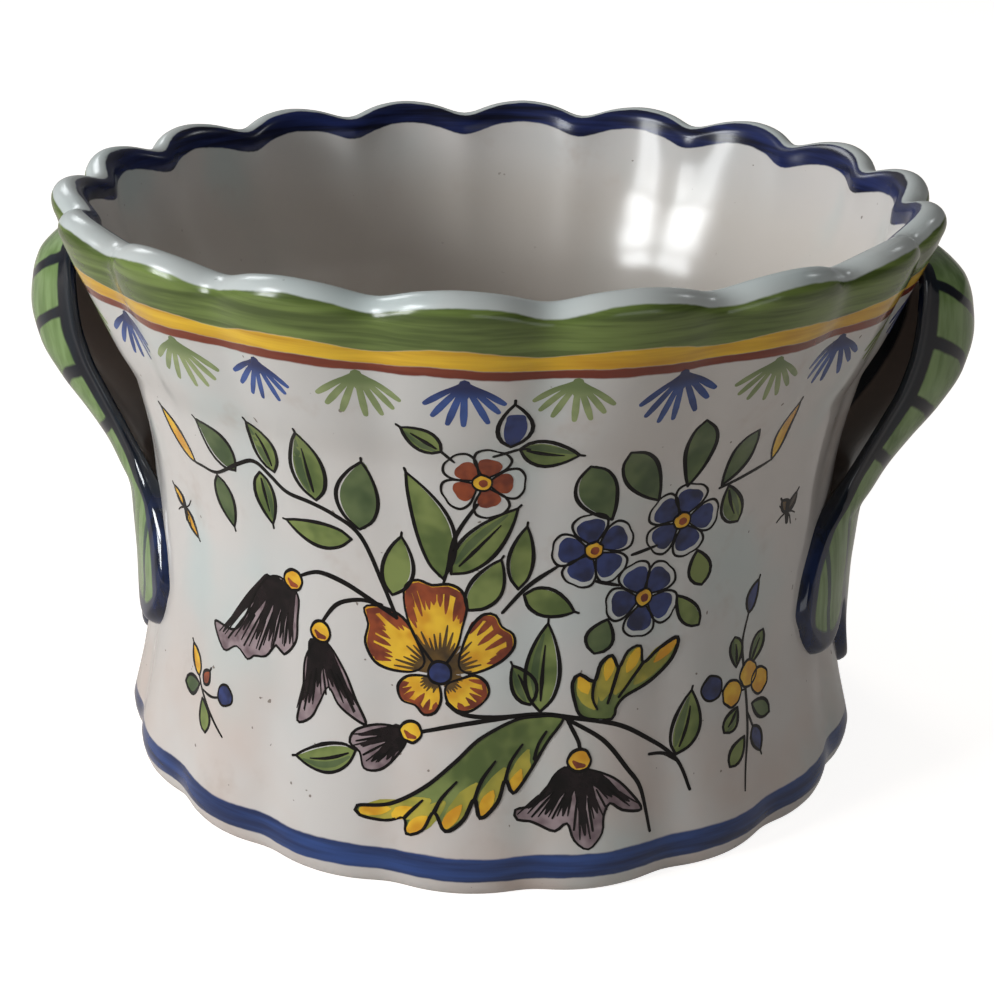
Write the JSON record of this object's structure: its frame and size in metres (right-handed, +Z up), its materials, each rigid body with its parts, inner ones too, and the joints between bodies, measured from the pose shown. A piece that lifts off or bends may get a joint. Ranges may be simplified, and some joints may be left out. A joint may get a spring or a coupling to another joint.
{
  "type": "cachepot",
  "caption": "Waisted glazed earthenware cachepot with a lobed wall, scalloped lip, low foot ring and two leaf handles luted on opposite sides.",
  "frame": {"origin": "bottom centre of the foot ring, on the axis of the bowl", "axes": "+Z up along the bowl's axis; a lobe crest and the painted front face -Y; the handles stand on -X and +X"},
  "size_m": [0.2154, 0.196, 0.131],
  "materials": {
    "white_glaze": "gloss tin glaze with hand-painted bands",
    "green_glaze": "gloss tin glaze painted green with dark bars and blue edges"
  },
  "bodies": {
    "root": {"pot_body": "white_glaze", "handle_left": "green_glaze", "handle_right": "green_glaze"}
  },
  "joints": []
}
